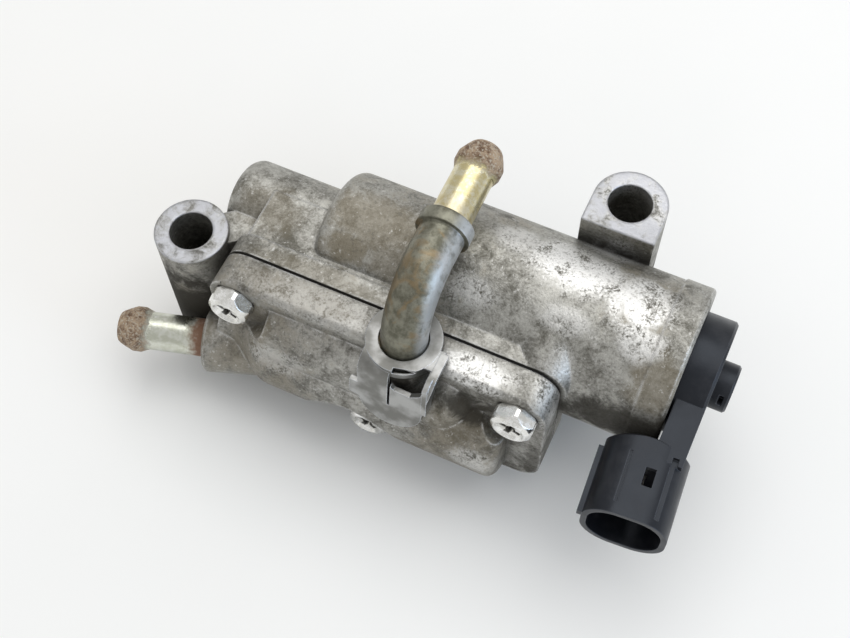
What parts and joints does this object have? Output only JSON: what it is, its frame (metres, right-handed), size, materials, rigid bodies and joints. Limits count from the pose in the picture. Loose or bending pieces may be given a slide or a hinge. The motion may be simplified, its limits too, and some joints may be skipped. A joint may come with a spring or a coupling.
{
  "type": "idle air control valve",
  "caption": "Water-heated rotary idle air valve: stepped cast body with bolt ears, screwed water cover, bent and straight hose ends, black end cap with socket.",
  "frame": {"origin": "axis of the short bolt hole at the mounting face", "axes": "+Z out of the mounting face, +X along the rotor towards the electrical end, +Y from the water cover to the back"},
  "size_m": [0.1185, 0.0629, 0.0565],
  "materials": {
    "casting": "aged as-cast",
    "cover_casting": "aged as-cast",
    "gasket": "matte",
    "screw": "zinc plated",
    "hose_end": "yellow zinc, rusty bead",
    "elbow": "tarnished",
    "seal": "matte",
    "retainer": "cut sheet",
    "black_plastic": "moulded",
    "contact": "tin plated",
    "stator_steel": "plain",
    "bobbin_plastic": "moulded",
    "copper_wire": "enamelled copper",
    "shaft_steel": "ground",
    "magnet": "sintered",
    "valve_bronze": "turned",
    "bush_bronze": "sintered",
    "inner_aluminium": "turned",
    "bimetal": "rolled"
  },
  "bodies": {
    "housing": {"valve_body": "casting", "water_cover": "cover_casting", "cover_gasket": "gasket", "cover_screw_left": "screw", "cover_screw_right": "screw", "cover_screw_bottom": "screw", "straight_nipple": "hose_end", "elbow_pipe": "elbow", "elbow_hose_tube": "hose_end", "elbow_seal": "seal", "pipe_retainer": "retainer", "end_cap": "black_plastic", "end_cap_seal": "seal", "connector_pin_left": "contact", "connector_pin_middle": "contact", "connector_pin_right": "contact", "stator_yoke": "stator_steel", "pole_piece_upper": "stator_steel", "pole_piece_lower": "stator_steel", "coil_bobbin_upper": "bobbin_plastic", "coil_bobbin_lower": "bobbin_plastic", "coil_upper": "copper_wire", "coil_lower": "copper_wire", "front_bush": "bush_bronze", "rear_bush": "bush_bronze", "bearing_plate": "inner_aluminium", "bimetal_strip": "bimetal", "bimetal_holder": "stator_steel"},
    "rotor": {"rotor_shaft": "shaft_steel", "rotor_magnet": "magnet", "rotary_valve": "valve_bronze", "stop_lever": "shaft_steel", "shaft_clip": "shaft_steel"}
  },
  "joints": [
    {"name": "rotor_turn", "type": "hinge", "parent": "housing", "child": "rotor", "pos_m": [0, 0.0148, 0.0287], "axis": [1, 0, 0], "range_deg": [0, 60]}
  ]
}
